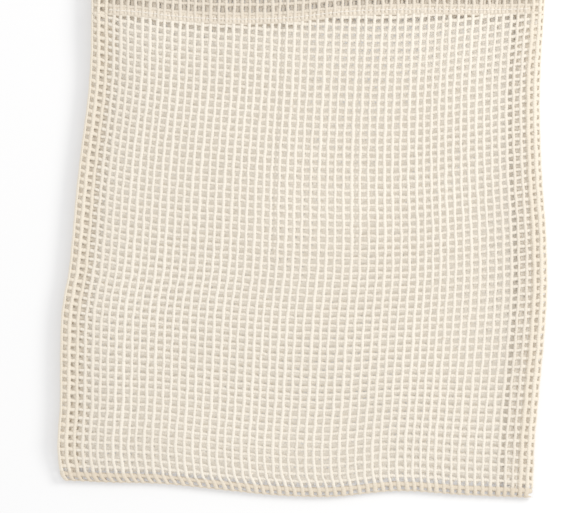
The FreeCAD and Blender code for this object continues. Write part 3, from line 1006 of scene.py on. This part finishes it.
class BAG_OT_side_seams(bpy.types.Operator):
    """Sews both side seams: two rows of stitches, overlocked raw edges, tacks and tucked corners"""

    bl_idname = "net_bag.side_seams"
    bl_label = "Side seams"

    def execute(self, context):
        for side in ("left", "right"):
            for node, name, count, seed in (("seam_stitching", "seam", 0.8, 110),
                                            ("safety_stitching", "safety_seam", 2.2, 111)):
                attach(self.sew_row(side, node, name, count, seed), BAG)
            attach(self.overlock(side), BAG)
            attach(self.bar_tack(side), BAG)
            self.corner(side)
        return {"FINISHED"}

    def wale_in(self, side, count):
        """The wale that is this many openings into a side's seam allowance."""
        return -count if side == "left" else net().wales + count

    def sew_row(self, side, node, name, count, seed):
        """Sews a row of stitches through a side's two allowances."""
        low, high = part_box(f"{side}_{node}")
        wale = self.wale_in(side, count)

        def line(share):
            y = low.y + share * (high.y - low.y)
            x, _ = across(wale + 0 * y, y, SEAM_RADIUS)
            return np.stack([x, y, sum(allowance_levels(y, wale)) / 2], axis=-1)

        yarns = Yarns()
        stitching(yarns, line, STITCH_LENGTH, ALLOWANCE_REACH, -ALLOWANCE_REACH, seed)
        return thread_piece(f"{side}_{name}", yarns, f"{side}_{node}")

    def overlock(self, side):
        """Binds the raw edges of a side's two allowances."""
        low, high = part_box(f"{side}_overlocking")
        wale = self.wale_in(side, shape().allowance - OVERLOCK_INSET)
        turns = round((high.y - low.y) / OVERLOCK_PITCH)
        turn = np.linspace(0, turns, turns * 8 + 1)
        y = low.y + (high.y - low.y) * turn / turns
        edge, _ = across(wale + 0 * y, y, SEAM_RADIUS)
        loose = 1 + 0.12 * np.sin(turn * 5.1)
        inward = 1 if side == "left" else -1
        lower, upper = allowance_levels(y, wale)
        half, middle = (upper - lower) / 2 + YARN_SKIN, (lower + upper) / 2
        yarns = Yarns()
        angle = 2 * math.pi * turn
        loops = np.stack([edge + inward * OVERLOCK_DEPTH * loose * np.cos(angle),
                          y + OVERLOCK_LEAN * np.sin(angle), middle + half * np.sin(angle)], axis=-1)
        thread(yarns, loops, OVERLOCK_RADIUS, 0.4)
        for level, phase in ((middle + half, 0), (middle - half, math.pi)):
            chain_x = edge - inward * CHAIN_INSET + CHAIN_SWAY * np.sin(angle / 2 + phase)
            chain = np.stack([chain_x, y, level + 0.1 * MM * np.cos(angle)], axis=-1)
            thread(yarns, chain, OVERLOCK_RADIUS, 0.6)
        return thread_piece(f"{side}_overlock", yarns, f"{side}_overlocking")

    def bar_tack(self, side):
        """Sews close bars to and fro across the top end of a side seam."""
        low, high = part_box(f"{side}_bar_tack")
        share = np.linspace(0, 1, TACK_BARS * 6 + 1)
        sweep = np.abs((share * TACK_BARS) % 2 - 1)
        points = np.stack([low.x + (high.x - low.x) * sweep, low.y + (high.y - low.y) * share,
                           (low.z + high.z) / 2 + 0.12 * MM * np.sin(share * 50)], axis=-1)
        yarns = Yarns()
        thread(yarns, points, THREAD_RADIUS, 0.5)
        return thread_piece(f"{side}_tack", yarns, f"{side}_bar_tack")

    def corner(self, side):
        """Knits the end of a side's allowances, folded up inside the bottom corner."""
        low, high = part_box(f"{side}_corner_tuck")
        middle, radius = (low.z + high.z) / 2, (high.z - low.z) / 2 - TUCK_SKIN
        width, length = high.x - low.x, high.y - low.y
        inward = 1 if side == "left" else -1
        edge = low.x if side == "left" else high.x

        def place(wale, row):
            wale, row = np.broadcast_arrays(np.asarray(wale, float), np.asarray(row, float))
            inside, turn = turned(wale * TUCK_PITCH, radius)
            x = edge + inward * (width - TUCK_INSET - inside)
            y = low.y + TUCK_INSET + row * TUCK_PITCH + 0.5 * MM * np.sin(wale)
            return np.stack([x, y, middle + turn * radius], axis=-1)

        reach = math.floor(width / TUCK_PITCH) - 0.4
        rows = (0, math.floor((length - 2 * TUCK_INSET) / TUCK_PITCH))
        # Painted shade: the tucked corner is painted deeper, as the shade in the bottom corner.
        yarns = knit(Yarns(), place, (-reach, reach), rows, wale_step=0.5, tone=FOLD_SHADE,
                     seed=120 + inward)
        net_piece(f"{side}_tucked_corner", yarns, shaded_seam_cotton(), [f"{side}_corner_tuck"],
                  (2 * reach * TUCK_PITCH, max(length, TUCK_LENGTH)))


class BAG_OT_stage(bpy.types.Operator):
    """Sets up a plain pale floor, soft light from the right and a camera straight above"""

    bl_idname = "net_bag.stage"
    bl_label = "Floor, light and camera"

    def execute(self, context):
        scene = context.scene
        bpy.ops.object.select_all(action="DESELECT")
        bpy.ops.mesh.primitive_plane_add(size=FLOOR_SIZE, location=(0, 0, 0))
        floor = context.object
        floor.name = "floor"
        material = bpy.data.materials.new("pale_floor")
        material.use_nodes = True
        tree = material.node_tree
        shader = tree.nodes["Principled BSDF"]
        place = tree.nodes.new("ShaderNodeTexCoord").outputs["Object"]
        pale, deeper = colour("floor"), tinted(colour("floor"), (0.99, 0.99, 0.99))
        shade = mix_node(tree, noise_node(tree, place, 3), pale, deeper)
        tree.links.new(shade, shader.inputs["Base Color"])
        shader.inputs["Roughness"].default_value = 0.9
        shader.inputs["Specular IOR Level"].default_value = 0.1
        floor.data.materials.append(material)

        bpy.ops.object.light_add(type="AREA", location=LIGHT_PLACE)
        light = context.object
        light.name = "window_light"
        light.rotation_euler = (-Vector(LIGHT_PLACE)).to_track_quat("-Z", "Y").to_euler()
        light.data.shape, light.data.size = "DISK", LIGHT_SIZE
        light.data.energy, light.data.color = LIGHT_POWER, WINDOW_TINT
        world = bpy.data.worlds.new("bright_room")
        world.use_nodes = True
        world.node_tree.nodes["Background"].inputs["Color"].default_value = ROOM_TINT
        world.node_tree.nodes["Background"].inputs["Strength"].default_value = ROOM_LIGHT
        scene.world = world
        scene.view_settings.view_transform = "Standard"
        scene.view_settings.gamma = HIGH_KEY

        bpy.ops.object.camera_add(location=CAMERA_PLACE, rotation=(0, 0, 0))
        camera = context.object
        camera.data.sensor_width = SENSOR
        camera.data.lens = SENSOR * CAMERA_PLACE[2] / VIEW_WIDTH
        camera.data.clip_start, camera.data.clip_end = 0.01, 20
        scene.camera = camera
        return {"FINISHED"}


# --- the add-on -------------------------------------------------------------------------------


OPERATORS = (BAG_OT_stage, BAG_OT_back_cloth, BAG_OT_bottom_fold, BAG_OT_front_cloth,
             BAG_OT_side_edges, BAG_OT_casing, BAG_OT_side_seams)
SETTINGS = {"bag_net": NetSettings, "bag_shape": ShapeSettings, "bag_colour": ColourSettings}


class BAG_PT_panel(bpy.types.Panel):
    """Lists the bag's settings and the steps that build it"""

    bl_idname = "BAG_PT_panel"
    bl_label = "Net laundry bag"
    bl_space_type = "VIEW_3D"
    bl_region_type = "UI"
    bl_category = "Net bag"

    def draw(self, context):
        for group in SETTINGS:
            settings = getattr(context.scene, group)
            box = self.layout.box()
            for name in settings.bl_rna.properties.keys():
                if name not in ("rna_type", "name"):
                    box.prop(settings, name)
        for operator in OPERATORS:
            self.layout.operator(operator.bl_idname)


def register():
    """Adds the settings, the steps and the panel."""
    for group in (*SETTINGS.values(), *OPERATORS, BAG_PT_panel):
        bpy.utils.register_class(group)
    for name, group in SETTINGS.items():
        setattr(bpy.types.Scene, name, PointerProperty(type=group))


def unregister():
    """Takes them away again."""
    for name in SETTINGS:
        delattr(bpy.types.Scene, name)
    for group in (BAG_PT_panel, *reversed(OPERATORS), *SETTINGS.values()):
        bpy.utils.unregister_class(group)


def main():
    """Builds the stage and every piece."""
    register()
    bpy.ops.net_bag.stage()
    bpy.ops.net_bag.back_cloth()
    bpy.ops.net_bag.bottom_fold()
    bpy.ops.net_bag.front_cloth()
    bpy.ops.net_bag.side_edges()
    bpy.ops.net_bag.casing()
    bpy.ops.net_bag.side_seams()


if __name__ == "__main__":
    main()
